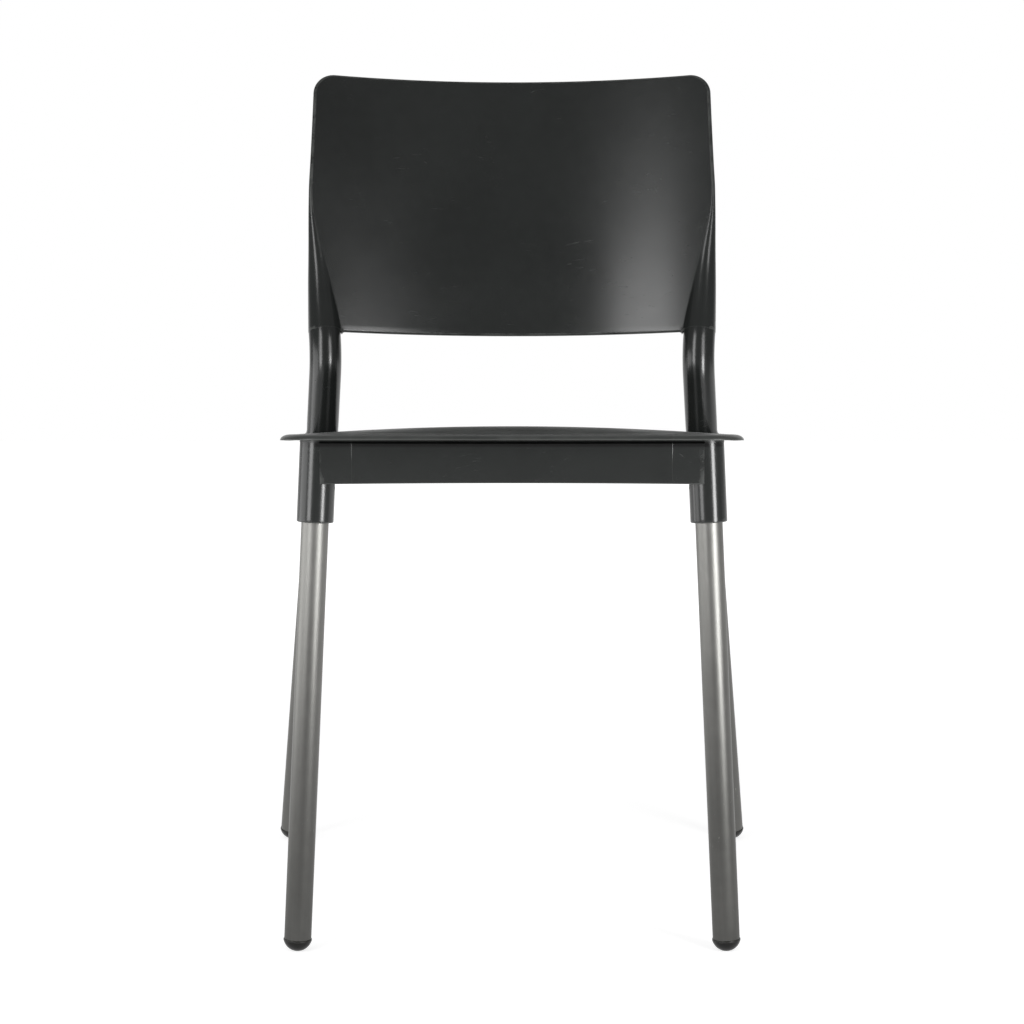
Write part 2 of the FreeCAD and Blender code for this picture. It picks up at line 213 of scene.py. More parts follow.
class Builder:
    """Collects vertices and faces, then makes one piece of them."""

    def __init__(self):
        self.points = []
        self.faces = []

    def grid(self, rows, closed=False):
        start = len(self.points)
        for row in rows:
            self.points.extend(tuple(p) for p in row)
        self.faces.extend(grid_faces(len(rows), len(rows[0]), start, closed))

    def cap(self, ring):
        """Closes a ring with a fan round its middle."""
        start = len(self.points)
        self.points.extend(tuple(p) for p in ring)
        self.points.append(tuple(np.mean(np.array([tuple(p) for p in ring]), axis=0)))
        count = len(ring)
        for j in range(count):
            self.faces.append((start + j, start + (j + 1) % count, start + count))

    def mirror(self):
        """Adds the other side's copy of everything so far."""
        start = len(self.points)
        self.points.extend([(-x, y, z) for x, y, z in self.points])
        self.faces.extend([tuple(start + i for i in reversed(face)) for face in self.faces])

    def piece(self, name, material, slot, replaced, sharp_deg=40):
        mesh = bpy.data.meshes.new(name)
        mesh.from_pydata(self.points, [], self.faces)
        work = bmesh.new()
        work.from_mesh(mesh)
        bmesh.ops.remove_doubles(work, verts=work.verts, dist=2e-6)
        bmesh.ops.dissolve_degenerate(work, edges=work.edges, dist=1e-6)
        bmesh.ops.recalc_face_normals(work, faces=work.faces)
        work.to_mesh(mesh)
        work.free()
        mesh.shade_smooth()
        mesh.set_sharp_from_angle(angle=math.radians(sharp_deg))
        mesh.materials.append(material)
        mark_edges(mesh)
        piece = bpy.data.objects.new(name, mesh)
        bpy.context.scene.collection.objects.link(piece)
        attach(piece, "root")
        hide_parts(replaced)
        return piece


class Leg:
    """A leg's axis, from its glide's dome up to the seat, on the side where x is positive."""

    def __init__(self, foot, lean):
        self.foot = np.array([foot[0], foot[1], DOME_CENTRE_Z])
        self.up = np.array([lean[0], lean[1], 1.0])
        self.direction = unit(self.up)
        self.side = unit(np.cross(self.direction, (0, 1, 0)))
        self.front = np.cross(self.direction, self.side)

    def at(self, z):
        return self.foot + self.up * (z - self.foot[2])

    def distance(self, z):
        return (z - self.foot[2]) / self.direction[2]

    def ring(self, distance, radius, count):
        centre = self.foot + self.direction * distance
        return circle(centre, self.side, self.front, radius, count)


def circle(centre, across, along, radius, count):
    rows = []
    for j in range(count):
        turn = 2 * math.pi * j / count
        rows.append(centre + across * (radius * math.cos(turn)) + along * (radius * math.sin(turn)))
    return rows


def rounding(radius, steps, start_deg, end_deg):
    """Points of a small arc about its own centre."""
    turns = [math.radians(start_deg + (end_deg - start_deg) * i / steps) for i in range(steps + 1)]
    return [(radius * math.cos(t), radius * math.sin(t)) for t in turns]


# The seat

def rounded_corner_ring(corners, radii, arc_steps, line_steps):
    """Plan outline of lines and arcs, always with the same number of points for the same steps."""
    count = len(corners)
    stops = []
    for i in range(count):
        corner = corners[i]
        back = unit(corners[i - 1] - corner)
        ahead = unit(corners[(i + 1) % count] - corner)
        half = math.acos(float(np.clip(back @ ahead, -1, 1))) / 2
        reach = radii[i] / math.tan(half)
        centre = corner + unit(back + ahead) * (radii[i] / math.sin(half))
        stops.append((corner + back * reach, corner + ahead * reach, centre))
    points = []
    for i in range(count):
        start, end, centre = stops[i]
        first, last = start - centre, end - centre
        sweep = math.atan2(first[0] * last[1] - first[1] * last[0], first @ last)
        steps = arc_steps[i]
        for j in range(steps):
            turn = sweep * j / steps
            cos, sin = math.cos(turn), math.sin(turn)
            points.append(centre + np.array([first[0] * cos - first[1] * sin, first[0] * sin + first[1] * cos]))
        target = stops[(i + 1) % count][0]
        steps = line_steps[i]
        for j in range(steps):
            points.append(end + (target - end) * (j / steps))
    return points


CORNER_STEPS = 16
BOW_STEPS = 4
SIDE_STEPS = 70
FLANK_STEPS = 16
MIDDLE_STEPS = 24


def seat_ring(inset):
    """The seat's outline in plan, drawn smaller all round, from the middle of the front corner where x is positive."""
    right = [
        (70 * MM, SEAT_FRONT_Y),
        (SEAT_FRONT_HALF, SEAT_FRONT_Y + 7 * MM),
        (SEAT_REAR_HALF, SEAT_REAR_Y - 20 * MM),
        (80 * MM, SEAT_REAR_Y),
    ]
    corners = [np.array(p) for p in right + [(-x, y) for x, y in reversed(right)]]
    radii = [700 * MM, 36 * MM, 44 * MM, 600 * MM, 600 * MM, 44 * MM, 36 * MM, 700 * MM]
    arc_steps = [BOW_STEPS, CORNER_STEPS, CORNER_STEPS, BOW_STEPS] * 2
    line_steps = [FLANK_STEPS, SIDE_STEPS, FLANK_STEPS, MIDDLE_STEPS] * 2
    count = len(corners)
    moved = []
    for i in range(count):
        before = unit(corners[i] - corners[i - 1])
        after = unit(corners[(i + 1) % count] - corners[i])
        inward = unit(np.array([-before[1] - after[1], before[0] + after[0]]))
        half_turn = math.acos(float(np.clip(before @ after, -1, 1))) / 2
        moved.append(corners[i] + inward * (inset / math.cos(half_turn)))
    ring = rounded_corner_ring(moved, [max(r - inset, 8 * MM) for r in radii], arc_steps, line_steps)
    shift = BOW_STEPS + line_steps[0] + CORNER_STEPS // 2
    return ring[shift:] + ring[:shift]


def seat_block(x, y):
    """Height of the seat's top above its edge, away from its nose: crowned across, rolled and dished along."""
    crown = spline(SEAT_CROWN, (y - FRONT_Y) / MM) * MM
    return SEAT_RISE + crown * (1 - (x / SEAT_CROWN_HALF) ** 2)


def sloped(x, y, height):
    along = y - SEAT_FRONT_Y
    cos, sin = math.cos(SEAT_SLOPE), math.sin(SEAT_SLOPE)
    return (x, SEAT_FRONT_Y + along * cos + height * sin, SEAT_EDGE_Z - along * sin + height * cos)


def seat_top(x, y, inset, nose):
    share = smoothstep(inset / SEAT_BLEND)
    return nose * (1 - share) + seat_block(x, y) * share


def seat_under(x, y, inset):
    return (seat_block(x, y) - SEAT_THICK) * smoothstep(inset / SEAT_UNDER_BLEND)


def seat_middle_z(x, y):
    """Height on the chair of the middle of the seat's thickness, where the rails end."""
    return sloped(x, y, seat_block(x, y) - SEAT_THICK / 2)[2]


def coons(bottom, right, top, left):
    """Fills four boundary rows: bottom and top run left to right, left and right run bottom to top."""
    columns, levels = len(bottom) - 1, len(left) - 1
    rows = []
    for j in range(levels + 1):
        v = j / levels
        row = []
        for i in range(columns + 1):
            u = i / columns
            edges = bottom[i] * (1 - v) + top[i] * v + left[j] * (1 - u) + right[j] * u
            corners = (bottom[0] * (1 - u) + bottom[-1] * u) * (1 - v) + (top[0] * (1 - u) + top[-1] * u) * v
            row.append(edges - corners)
        rows.append(row)
    return rows


def make_seat(material):
    build = Builder()
    side = CORNER_STEPS + SIDE_STEPS
    across = 2 * (CORNER_STEPS // 2 + FLANK_STEPS + BOW_STEPS) + MIDDLE_STEPS
    rim = [(0.5 * MM, 0.0), (0.13 * MM, 0.12 * MM)]
    for i in range(14):
        turn = math.radians(6 + 84 * i / 13)
        rim.append((SEAT_NOSE_DEPTH * (1 - math.cos(turn)), SEAT_RISE * 0.93 * math.sin(turn)))
    rim += [(d * MM, SEAT_RISE * 0.93) for d in (11.5, 14.5, 18, 21, 24)]
    rows = []
    for inset, nose in rim:
        rows.append([sloped(x, y, seat_top(x, y, inset, nose)) for x, y in seat_ring(inset)])
    build.grid(rows, closed=True)
    under = [(d * MM) for d in (0.5, 2, 4, 7, 10, 16, 24)]
    build.grid([[sloped(x, y, seat_under(x, y, d)) for x, y in seat_ring(d)] for d in under], closed=True)
    inner = seat_ring(24 * MM)
    right = inner[: side + 1]
    rear = inner[side : side + across + 1]
    left = inner[side + across : 2 * side + across + 1]
    front = inner[2 * side + across :] + inner[:1]
    plan = coons(front, right, rear[::-1], left[::-1])
    build.grid([[sloped(x, y, seat_block(x, y)) for x, y in row] for row in plan])
    build.grid([[sloped(x, y, seat_block(x, y) - SEAT_THICK) for x, y in row] for row in plan])
    return build.piece("moulded_seat", material, "body_plastic", "moulded_body", 50)


# The backrest and its uprights

LEAN_LENGTH = math.hypot(1, BACK_LEAN)
UP_BACK = np.array([0, BACK_LEAN, 1]) / LEAN_LENGTH
AWAY_BACK = np.array([0, 1, -BACK_LEAN]) / LEAN_LENGTH
AXIS_Y0 = BACK_FACE_Y - BACK_LEAN * BACK_BOTTOM_Z - BACK_R * LEAN_LENGTH


def flat_from_view(x, z):
    """Point of the panel's front face seen at (x, z), in the face's own flat coordinates."""
    sag = math.sqrt(BACK_R**2 - x**2)
    y = AXIS_Y0 + BACK_LEAN * z + sag * LEAN_LENGTH
    return np.array([BACK_R * math.asin(x / BACK_R), np.array([x, y, z]) @ UP_BACK])


def from_flat(flat, depth):
    """Place of a flat point, moved off the front face towards the back by the depth."""
    turn = flat[0] / BACK_R
    outward = np.array([math.sin(turn), 0, 0]) + AWAY_BACK * math.cos(turn)
    axis = np.array([0, AXIS_Y0, 0])
    axis_foot = axis - UP_BACK * (axis @ UP_BACK)
    return axis_foot + UP_BACK * flat[1] + outward * (BACK_R + depth)


def edge_profile(radius, centre_depth, count):
    """Section of the round edge and its creases: from the front face round the outside to the back face.

    Each point is (distance outwards, depth) from the foot of the round's centre on the front face."""
    creases = []
    for off in (centre_depth, BACK_THICK - centre_depth):
        reach = math.sqrt(max((radius + CREASE_R) ** 2 - (off + CREASE_R) ** 2, 0))
        creases.append((reach, math.atan2(reach, off + CREASE_R)))
    (reach_f, turn_f), (reach_b, turn_b) = creases
    points = []
    steps = 60
    for i in range(steps + 1):
        turn = turn_f * i / steps
        points.append((-reach_f + CREASE_R * math.sin(turn), CREASE_R * (math.cos(turn) - 1)))
    for i in range(1, 4 * steps):
        turn = -turn_f + (turn_f + math.pi + turn_b) * i / (4 * steps)
        points.append((radius * math.sin(turn), centre_depth - radius * math.cos(turn)))
    for i in range(steps, -1, -1):
        turn = turn_b * i / steps
        points.append((-reach_b + CREASE_R * math.sin(turn), BACK_THICK + CREASE_R * (1 - math.cos(turn))))
    weights = [0.0]
    for i in range(1, len(points)):
        step = math.dist(points[i], points[i - 1])
        curve = step / radius
        if i <= steps or i > len(points) - 1 - steps:
            curve = step / CREASE_R
        weights.append(weights[-1] + curve + step / (40 * MM))
    wanted = np.linspace(0, weights[-1], count)
    outs, depths = zip(*points)
    return list(zip(np.interp(wanted, weights, outs), np.interp(wanted, weights, depths)))


def upright_value(z, column):
    return spline([(row[0], row[column]) for row in UPRIGHT_STATIONS], z / MM) * MM


class EdgeStation:
    """One place on the path that the round edge follows: its foot on the front face, and its size."""

    def __init__(self, x, z, view_out, radius, centre_depth):
        centre_x = x - radius * view_out[0]
        centre_z = z - radius * view_out[1]
        foot_x = centre_x / (1 + centre_depth / BACK_R)
        sag = math.sqrt(BACK_R**2 - foot_x**2) / BACK_R
        foot_z = centre_z + BACK_LEAN / LEAN_LENGTH * sag * centre_depth
        self.flat = flat_from_view(foot_x, foot_z)
        self.radius = radius
        self.centre_depth = centre_depth
        self.out = None


def edge_stations():
    """The edge's path where x is positive: from the upright, up, round the corner, to the middle of the crest."""
    stations = []
    side_steps = 56
    low, high = UPRIGHT_STATIONS[0][0], UPRIGHT_STATIONS[-1][0]
    for i in range(side_steps + 1):
        z = (low + (high - low) * i / side_steps) * MM
        radius = max(upright_value(z, 2), BACK_THICK / 2)
        proud = max(upright_value(z, 3), 0)
        stations.append(EdgeStation(upright_value(z, 1), z, (1, 0), radius, radius - proud))
    half = BACK_THICK / 2
    centre_x, centre_z = BACK_TOP_HALF - BACK_CORNER_R, BACK_TOP_Z - BACK_CORNER_R
    corner_steps = 16
    for i in range(1, corner_steps + 1):
        turn = math.radians(90 * i / corner_steps)
        out = (math.cos(turn), math.sin(turn))
        x, z = centre_x + BACK_CORNER_R * out[0], centre_z + BACK_CORNER_R * out[1]
        stations.append(EdgeStation(x, z, out, half, half))
    crest_steps = 44
    for i in range(1, crest_steps + 1):
        x = centre_x * (1 - i / crest_steps)
        z = BACK_TOP_Z - BACK_CREST_HOLLOW * (1 - (x / centre_x) ** 2)
        stations.append(EdgeStation(x, z, (0, 1), half, half))
    side_count = side_steps + corner_steps // 2
    return stations, side_count


def set_outwards(stations):
    for i, station in enumerate(stations):
        before = stations[max(i - 1, 0)].flat
        after = stations[min(i + 1, len(stations) - 1)].flat
        along = unit(after - before)
        station.out = np.array([along[1], -along[0]])
    stations[-1].out = np.array([0.0, 1.0])


EDGE_COUNT = 49
INNER_COUNT = 8


def upright_path(top_centre, top_direction, rear):
    """Centres of the upright from the backrest down through its knee to the seat and along the rear socket."""
    start = np.array([UPRIGHT_X, rear.at(UPRIGHT_START_Z)[1], UPRIGHT_START_Z])
    ahead = top_direction
    knee = top_centre - ahead * ((top_centre[2] - KNEE_Z) / ahead[2])
    back = unit(start - knee)
    half = math.acos(float(back @ ahead)) / 2
    reach = KNEE_BEND_R / math.tan(half)
    centre = knee + unit(back + ahead) * (KNEE_BEND_R / math.sin(half))
    bend_end, bend_start = knee + ahead * reach, knee + back * reach
    points = []
    gap = np.linalg.norm(top_centre - bend_end)
    for i in range(1, 4):
        points.append(top_centre + (bend_end - top_centre) * min((2.6 + 2.4 * i) * MM / gap, i / 3))
    first, last = bend_end - centre, bend_start - centre
    sweep = math.acos(float(unit(first) @ unit(last)))
    side = unit(last - first * (first @ last) / (first @ first)) * KNEE_BEND_R
    steps = 16
    for i in range(1, steps + 1):
        turn = sweep * i / steps
        points.append(centre + first * math.cos(turn) + side * math.sin(turn))
    for z in (500, 490, 480, 470, 462, 455, 448):
        share = (bend_start[2] - z * MM) / (bend_start[2] - start[2])
        points.append(bend_start + (start - bend_start) * share)
    points += [rear.at(z * MM) for z in (440, 436, 432)]
    return points


def make_back(material, rear):
    build = Builder()
    stations, side_count = edge_stations()
    set_outwards(stations)
    strip = []
    for station in stations:
        profile = edge_profile(station.radius, station.centre_depth, EDGE_COUNT)
        strip.append([from_flat(station.flat + station.out * out, depth) for out, depth in profile])
        station.front = station.flat + station.out * profile[0][0]
        station.back = station.flat + station.out * profile[-1][0]
    build.grid(strip)

    # lower edge of the panel, from the middle to the upright where x is positive, drooping into a small fillet
    half_count = len(stations) - 1 - side_count
    corner = {"front": stations[0].front, "back": stations[0].back}
    view_x = BACK_R * math.sin(corner["front"][0] / BACK_R)
    lower = {"front": [], "back": []}
    cluster = [0, 0.35, 0.9, 1.7, 2.8]
    spread = half_count - len(cluster) + 1
    for i in range(half_count + 1):
        if i < spread:
            share = i / spread * (1 - (cluster[-1] * MM) / view_x)
        else:
            share = 1 - cluster[half_count - i] * MM / view_x
        inward = view_x * (1 - share)
        droop = 0.0
        if inward < ARMPIT_R:
            droop = ARMPIT_R - math.sqrt(ARMPIT_R**2 - (ARMPIT_R - inward) ** 2)
        for face in ("front", "back"):
            sideways = corner[face][0] * share
            x = BACK_R * math.sin(sideways / BACK_R)
            bow = BACK_FOOT_BOW * (1 - (x / view_x) ** 2)
            level = flat_from_view(x, BACK_BOTTOM_Z + BACK_FOOT_LIFT + BACK_THICK / 2 - bow)[1] - droop
            if i == half_count:
                level = corner[face][1]
            lower[face].append(np.array([sideways, level]))
    for face, depth in (("front", 0.0), ("back", BACK_THICK)):
        right = [getattr(s, face) for s in stations[: side_count + 1]]
        crest_right = [getattr(s, face) for s in stations[side_count:]]
        crest = [p * (-1, 1) for p in crest_right] + crest_right[-2::-1]
        bottom = [p * (-1, 1) for p in lower[face][::-1]] + lower[face][1:]
        flat = coons(bottom, right, crest, [p * (-1, 1) for p in right])
        middle = half_count
        build.grid([[from_flat(p, depth) for p in row[middle:]] for row in flat])
    rim = []
    for front, back in zip(lower["front"], lower["back"]):
        row = []
        for k in range(INNER_COUNT + 1):
            turn = math.pi * k / INNER_COUNT
            flat = front + (back - front) * (0.5 - 0.5 * math.cos(turn))
            row.append(from_flat(flat - (0, BACK_THICK / 2 * math.sin(turn)), BACK_THICK / 2 * (1 - math.cos(turn))))
        rim.append(row)
    build.grid(rim)

    # the upright below the panel: the strip's first row and the rim's last row make its first ring
    station = stations[0]
    first_ring = [np.array(p) for p in strip[0]] + [np.array(p) for p in rim[-1][-2:0:-1]]
    centre = from_flat(station.flat, station.centre_depth)
    next_station = stations[4]
    direction = unit(from_flat(next_station.flat, next_station.centre_depth) - centre)
    across = unit(from_flat(station.flat + station.out * MM, station.centre_depth) - centre)
    across = unit(across - direction * (across @ direction))
    depthwise = np.cross(across, direction)
    if depthwise[1] < 0:
        depthwise = -depthwise
    angles = []
    for p in first_ring:
        offset = p - centre
        angles.append(math.atan2(offset @ depthwise, offset @ across))
    angles = list(np.unwrap(angles))
    count = len(angles)
    way = 1 if angles[-1] > angles[0] else -1
    even = [angles[0] + way * 2 * math.pi * j / count for j in range(count)]
    rows = [first_ring]
    path = upright_path(centre, direction, rear)
    heading = direction
    for i, point in enumerate(path):
        after = path[min(i + 1, len(path) - 1)]
        before = path[i - 1] if i else centre
        new_heading = unit(before - after) if i < len(path) - 1 else rear.direction
        turn_axis = np.cross(heading, new_heading)
        size = np.linalg.norm(turn_axis)
        if size > 1e-9:
            turn = Matrix.Rotation(math.asin(min(size, 1)), 3, Vector(turn_axis / size))
            across = np.array(turn @ Vector(across))
            depthwise = np.array(turn @ Vector(depthwise))
        heading = new_heading
        share = smoothstep(i / 12)
        radius = UPRIGHT_R + (SOCKET_R - 0.1 * MM - UPRIGHT_R) * smoothstep((i - len(path) + 6) / 5)
        row = []
        for crowded, spread_angle in zip(angles, even):
            angle = crowded * (1 - share) + spread_angle * share
            row.append(point + across * (radius * math.cos(angle)) + depthwise * (radius * math.sin(angle)))
        rows.append(row)
    build.grid(rows, closed=True)
    build.cap(rows[-1])
    socket(build, rear, rear.distance(445 * MM), rear.distance(REAR_SOCKET_Z))
    build.mirror()
    return build.piece("moulded_back", material, "body_plastic", "moulded_body", 50)


def socket_mouth():
    """Radius and height above the lip, from the outside round the lip and up the bore."""
    mouth = [(SOCKET_R, 3 * SOCKET_LIP_R), (SOCKET_R, SOCKET_LIP_R)]
    for out, up in rounding(SOCKET_LIP_R, 5, 0, -90)[1:]:
        mouth.append((SOCKET_R - SOCKET_LIP_R + out, SOCKET_LIP_R + up))
    mouth += [(BORE_R + 0.5 * MM, 0.0), (BORE_R + 0.1 * MM, 0.15 * MM), (BORE_R, 0.6 * MM), (BORE_R, SOCKET_DEPTH)]
    return mouth


def socket(build, leg, top, lip):
    """Round socket from its hidden top end to its mouth, with the window its screw is driven through."""
    around, half, levels = 72, 6, 12
    window = lip + SOCKET_DEPTH - SCREW_DROP
    reach = 2 * math.pi * SOCKET_R * half / around
    rows = [leg.ring(top, SOCKET_R, around), leg.ring(window + reach, SOCKET_R, around)]
    build.grid(rows, closed=True)
    build.cap(rows[0])
    distances = [window + reach * (1 - 2 * i / levels) for i in range(levels + 1)]
    kept = list(range(half, around - half + 1))
    wall = [leg.ring(distance, SOCKET_R, around) for distance in distances]
    build.grid([[ring[j] for j in kept] for ring in wall])
    rows = [leg.ring(window - reach, SOCKET_R, around)]
    rows += [leg.ring(lip + above, radius, around) for radius, above in socket_mouth()]
    build.grid(rows, closed=True)
    build.cap(rows[-1])

    # the square left open in the wall narrows to the round window, whose wall goes down to the screw's head
    square = []
    for corner, heading in (((1, 1), (-1, 0)), ((-1, 1), (0, -1)), ((-1, -1), (1, 0)), ((1, -1), (0, 1))):
        for i in range(12):
            square.append([corner[k] + heading[k] * 2 * i / 12 for k in range(2)])

    def place(sideways, along, radius):
        inward = math.sqrt(radius**2 - sideways**2)
        return leg.foot + leg.direction * (window + along) + leg.side * inward + leg.front * sideways

    rows = []
    for share in (0.0, 0.35, 0.7, 1.0):
        row = []
        for u, v in square:
            turn = math.atan2(v, u)
            round_u, round_v = (WINDOW_R + WINDOW_EDGE) * math.cos(turn), (WINDOW_R + WINDOW_EDGE) * math.sin(turn)
            flat_u = SOCKET_R * math.sin(u * reach / SOCKET_R)
            sideways = flat_u * (1 - share) + round_u * share
            row.append(place(sideways, v * reach * (1 - share) + round_v * share, SOCKET_R))
        rows.append(row)
    for inset, depth in ((0.3, 0.1), (0.8, 0.45), (1.0, 1.0), (1.0, 9.0)):
        radius = WINDOW_R + WINDOW_EDGE * (1 - inset)
        turns = [math.atan2(v, u) for u, v in square]
        rows.append([place(radius * math.cos(t), radius * math.sin(t), SOCKET_R - WINDOW_EDGE * depth) for t in turns])
    build.grid(rows, closed=True)
    build.cap(rows[-1])


# The rails, ribs and front sockets

def wall(build, start, end, low, thick):
    """Upright wall between two plan points, with a rounded lower edge that follows low(point)."""
    start, end = np.array(start), np.array(end)
    length = np.linalg.norm(end - start)
    side = unit(np.array([start[1] - end[1], end[0] - start[0]]))
    steps = max(int(length / (6 * MM)), 2)
    radius = RAIL_EDGE_R
    rows = []
    for i in range(steps + 1):
        middle = start + (end - start) * (i / steps)
        bottom = low(middle)
        row = []
        outline = [(-thick / 2, None)]
        outline += [(-thick / 2 + radius + x, radius + z) for x, z in rounding(radius, 4, 180, 270)]
        outline += [(thick / 2 - radius + x, radius + z) for x, z in rounding(radius, 4, 270, 360)]
        outline.append((thick / 2, None))
        for out, up in outline:
            x, y = middle + side * out
            z = seat_middle_z(x, y) if up is None else bottom + up
            row.append(np.array([x, y, z]))
        rows.append(row)
    build.grid(rows, closed=True)
    build.cap(rows[0])
    build.cap(rows[-1])


def apron_fillet(build, half):
    """Hollow fillet under the seat, along the apron."""
    steps = 6
    hollow = []
    for i in range(steps + 1):
        turn = math.radians(90 * i / steps)
        hollow.append((FILLET_R * (1 - math.sin(turn)), FILLET_R * (1 - math.cos(turn))))
    rows = []
    for i in range(25):
        x = half * i / 24
        row = []
        for out, down in hollow + [(-RAIL_THICK / 2, 0.0), (-RAIL_THICK / 2, FILLET_R)]:
            y = FRONT_Y - SOCKET_R - out
            depth = FILLET_R - down
            z = sloped(x, y, seat_under(x, y, y - SEAT_FRONT_Y))[2] + 0.4 * MM - depth
            row.append(np.array([x, y, z]))
        rows.append(row)
    build.grid(rows, closed=True)
    build.cap(rows[0])
    build.cap(rows[-1])


def seat_drop(y):
    return math.tan(SEAT_SLOPE) * (y - SEAT_FRONT_Y)


def rib_low(point):
    return RIB_Z - seat_drop(point[1]) * RIB_SLOPE_SHARE


def make_rails(material, front, rear):
    build = Builder()
    half = front.at(APRON_Z)[0]
    apron_y = FRONT_Y - SOCKET_R + RAIL_THICK / 2
    rear_low = APRON_Z - math.tan(SEAT_SLOPE) * (REAR_FOOT[1] - SEAT_FRONT_Y) + REAR_RAIL_RISE
    rear_point = rear.at(rear_low + SIDE_RAIL_OUT)
    side_front = (half + SIDE_RAIL_OUT, FRONT_Y)
    side_rear = (rear_point[0] + SIDE_RAIL_OUT, rear_point[1])
    back_y = rear_point[1] - REAR_RAIL_IN

    def side_low(point):
        return APRON_Z + (rear_low - APRON_Z) * (point[1] - side_front[1]) / (side_rear[1] - side_front[1])

    end = half - APRON_SHORT
    wall(build, (0, apron_y), (end, apron_y), lambda p: APRON_Z + APRON_ARCH * (1 - (p[0] / half) ** 2), RAIL_THICK)
    wall(build, side_front, side_rear, side_low, RAIL_THICK)
    wall(build, (0, back_y), (rear_point[0], back_y), lambda p: rear_low, RAIL_THICK)
    wall(build, (LONG_RIB_X, apron_y), (LONG_RIB_X, back_y), rib_low, RIB_THICK)
    reach = side_front[0] + (side_rear[0] - side_front[0]) * (CROSS_RIB_Y - FRONT_Y) / (side_rear[1] - FRONT_Y)
    wall(build, (0, CROSS_RIB_Y), (reach, CROSS_RIB_Y), rib_low, RIB_THICK)
    socket(build, front, front.distance(SEAT_EDGE_Z + 2.6 * MM), front.distance(FRONT_SOCKET_Z))
    apron_fillet(build, end)
    build.mirror()
    return build.piece("moulded_rails", material, "body_plastic", "moulded_body", 50)


# The legs, glides and screws

def turned(build, leg, profile, around):
    """Closed shape turned about a leg's axis: (distance along it, radius) points, from pole to pole."""
    rows = [leg.ring(distance, radius, around) for distance, radius in profile]
    build.grid(rows, closed=True)
    build.cap(rows[0])
    build.cap(rows[-1])


def make_tube(material, name, leg, socket_z, mirrored):
    top = leg.distance(socket_z) + SOCKET_DEPTH
    edge = TUBE_EDGE_R
    inner = TUBE_R - TUBE_WALL
    outline = []
    for centre_r, centre_d, start in (
        (TUBE_R - edge, TUBE_START + edge, -90),
        (TUBE_R - edge, top - edge, 0),
        (inner + edge, top - edge, 90),
        (inner + edge, TUBE_START + edge, 180),
    ):
        outline += [(centre_d + d, centre_r + r) for r, d in rounding(edge, 4, start, start + 90)]
    around = 96
    middle = len(outline) // 4
    lengthwise = [(TUBE_START + edge + (top - TUBE_START - 2 * edge) * i / 30, TUBE_R) for i in range(1, 30)]
    outline = outline[:middle] + lengthwise + outline[middle:]
    rows = [leg.ring(distance, radius, around) for distance, radius in outline]
    rows.append(rows[0])
    build = Builder()
    build.grid(rows, closed=True)
    if mirrored:
        build.points = [(-x, y, z) for x, y, z in build.points]
    tube = build.piece(name + "_tube", material, "leg_aluminium", name, 50)
    wrap_tube(tube.data, leg, mirrored)
    return tube


def wrap_tube(mesh, leg, mirrored):
    """Gives a tube a map that wraps round it, and a place for each vertex in a drawn-out pattern along it."""
    turns, drawn = [], []
    for vertex in mesh.vertices:
        point = np.array(vertex.co)
        if mirrored:
            point[0] = -point[0]
        offset = point - leg.foot
        along = offset @ leg.direction
        sideways, ahead = offset @ leg.side, offset @ leg.front
        turns.append((math.atan2(ahead, sideways) / (2 * math.pi), along))
        drawn += [sideways + leg.foot[0], ahead + leg.foot[1], along / 60]
    mesh.attributes.new("drawn", "FLOAT_VECTOR", "POINT").data.foreach_set("vector", drawn)
    layer = mesh.uv_layers.new(name="wrap")
    for face in mesh.polygons:
        first = turns[mesh.loops[face.loop_start].vertex_index][0]
        for loop in face.loop_indices:
            turn, along = turns[mesh.loops[loop].vertex_index]
            layer.data[loop].uv = (turn - round(turn - first), along * 4)


def make_glides(material, name, leg):
    """A pair of domes with a narrow band, sunk groove and spigot, each worn flat where it stands."""
    build = Builder()
    rim_turn = math.asin(GLIDE_R / DOME_R)
    profile = []
    steps = 26
    for i in range(steps + 1):
        turn = 0.02 + (rim_turn - 0.02) * i / steps
        profile.append((-DOME_R * math.cos(turn), DOME_R * math.sin(turn)))
    band = profile[-1][0]
    spigot_r = TUBE_R - TUBE_WALL
    profile += [(band + 0.25 * MM, GLIDE_R), (TUBE_START - 0.3 * MM, GLIDE_R)]
    profile += [(TUBE_START - 0.08 * MM, GLIDE_R - 0.1 * MM), (TUBE_START, GLIDE_R - 0.35 * MM)]
    profile += [(TUBE_START, spigot_r), (TUBE_START + SPIGOT_H, spigot_r)]
    turned(build, leg, profile, 72)
    floor = []
    for x, y, z in build.points:
        floor.append((x, y, max(z, 0.0)))
    build.points = floor
    build.mirror()
    return build.piece(name + "_domes", material, "glide_plastic", name, 40)


# Materials

def node_tree(owner):
    owner.use_nodes = True
    owner.node_tree.nodes.clear()
    return owner.node_tree


